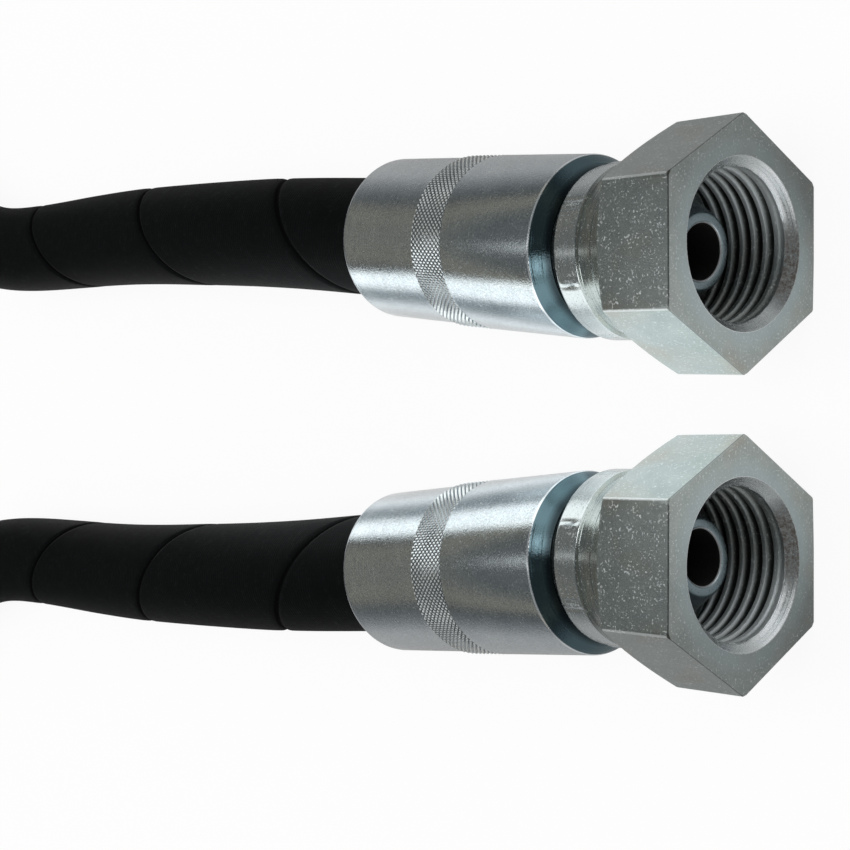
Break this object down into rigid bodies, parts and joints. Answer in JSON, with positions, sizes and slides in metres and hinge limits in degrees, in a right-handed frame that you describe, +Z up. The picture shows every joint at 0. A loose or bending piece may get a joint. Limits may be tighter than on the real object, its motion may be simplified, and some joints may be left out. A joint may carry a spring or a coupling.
{
  "type": "hydraulic hose assembly",
  "caption": "Wire-braided rubber hydraulic hose, laid in a flat loop, with a crimped ferrule and a free-turning internally threaded hexagon swivel nut at each end.",
  "frame": {"origin": "on the surface that the part lies on, under the middle of the two end fittings' box", "axes": "+X the way both mouths face, +Z up, end a on the +Y side, the hose runs back along -X"},
  "size_m": [0.4373, 0.2074, 0.027],
  "materials": {
    "tube_rubber": "smooth black nitrile rubber",
    "inner_braid_wire": "brass-coated high-tensile wire",
    "interlayer_rubber": "thin rubber sheet between the braids",
    "outer_braid_wire": "brass-coated high-tensile wire",
    "cover_rubber": "wrap-marked matt black rubber",
    "insert_zinc": "turned steel, bluish zinc plate",
    "ferrule_zinc": "turned steel, bluish zinc plate",
    "nut_zinc": "milled and turned steel, bluish zinc plate"
  },
  "bodies": {
    "hose_line": {"inner_tube": "tube_rubber", "wire_braid_inner": "inner_braid_wire", "braid_interlayer": "interlayer_rubber", "wire_braid_outer": "outer_braid_wire", "outer_cover": "cover_rubber", "insert_a": "insert_zinc", "ferrule_a": "ferrule_zinc", "insert_b": "insert_zinc", "ferrule_b": "ferrule_zinc"},
    "nut_a": {"swivel_nut_a": "nut_zinc"},
    "nut_b": {"swivel_nut_b": "nut_zinc"}
  },
  "joints": [
    {"name": "nut_a_swivel", "type": "hinge", "parent": "hose_line", "child": "nut_a", "pos_m": [0.01873, 0.01935, 0.0135], "axis": [0.9997, -0.0244, 0], "continuous": true},
    {"name": "nut_b_swivel", "type": "hinge", "parent": "hose_line", "child": "nut_b", "pos_m": [0.01873, -0.01935, 0.0135], "axis": [0.9997, 0.0244, 0], "continuous": true}
  ]
}
